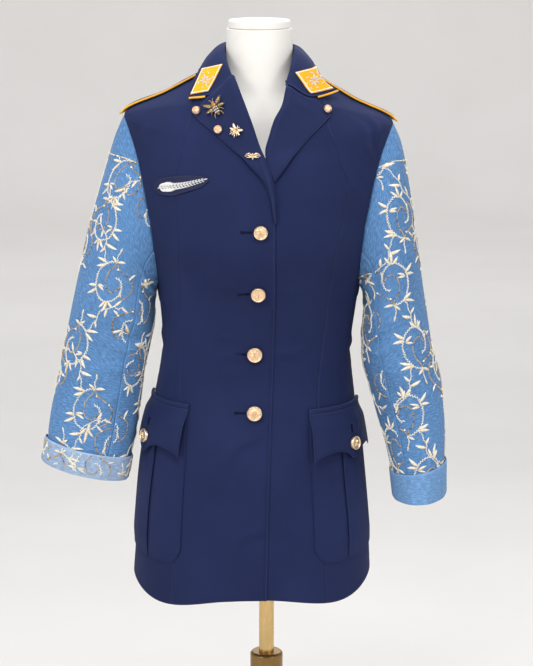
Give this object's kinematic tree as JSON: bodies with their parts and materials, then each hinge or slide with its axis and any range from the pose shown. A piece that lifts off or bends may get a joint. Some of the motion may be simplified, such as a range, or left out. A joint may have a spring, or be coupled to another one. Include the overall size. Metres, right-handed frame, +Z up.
{
  "type": "blazer on a dress form",
  "caption": "Tailored hip-length blazer with notch lapels, straps and flap pockets, buttoned on a limbless dress form on a telescoping stand.",
  "frame": {"origin": "centre of the base's underside, on the axis of the pole, at floor level", "axes": "+Z up along the pole, -Y the way the blazer faces, -X the wearer's right side"},
  "size_m": [0.6077, 0.34, 1.559],
  "materials": {
    "navy_cloth": "matte twill",
    "sleeve_blue": "smooth satin-faced wool",
    "cuff_blue": "smooth satin-faced wool",
    "yellow_trim": "felt and corded piping",
    "gold": "polished",
    "form_white": "smooth matte",
    "stand_brass": "brushed"
  },
  "bodies": {
    "stand": {"stand_base": "stand_brass", "stand_tube": "stand_brass"},
    "form": {"back_left": "navy_cloth", "back_right": "navy_cloth", "breast_patch": "navy_cloth", "brooch_bar": "gold", "brooch_large": "gold", "brooch_small": "gold", "button_flap_left": "gold", "button_flap_right": "gold", "button_front_1": "gold", "button_front_2": "gold", "button_front_3": "gold", "button_front_4": "gold", "collar": "navy_cloth", "collar_patch_left": "yellow_trim", "collar_patch_right": "yellow_trim", "collar_piping_left": "yellow_trim", "collar_piping_right": "yellow_trim", "cuff_left": "cuff_blue", "cuff_right": "cuff_blue", "epaulette_left": "navy_cloth", "epaulette_piping_left": "yellow_trim", "epaulette_piping_right": "yellow_trim", "epaulette_right": "navy_cloth", "flap_left": "navy_cloth", "flap_right": "navy_cloth", "form_neck_cap": "form_white", "form_torso": "form_white", "front_left_centre": "navy_cloth", "front_left_side": "navy_cloth", "front_right_centre": "navy_cloth", "front_right_side": "navy_cloth", "lapel_left": "navy_cloth", "lapel_right": "navy_cloth", "pocket_left": "navy_cloth", "pocket_right": "navy_cloth", "sleeve_left_top": "sleeve_blue", "sleeve_left_under": "sleeve_blue", "sleeve_right_top": "sleeve_blue", "sleeve_right_under": "sleeve_blue", "stand_pole": "stand_brass", "stud_1": "gold", "stud_2": "gold", "stud_3": "gold", "welt_left": "navy_cloth", "welt_right": "navy_cloth"}
  },
  "joints": [
    {"name": "height", "type": "slide", "parent": "stand", "child": "form", "axis": [0, 0, 1], "range_m": [-0.1, 0.15]}
  ]
}
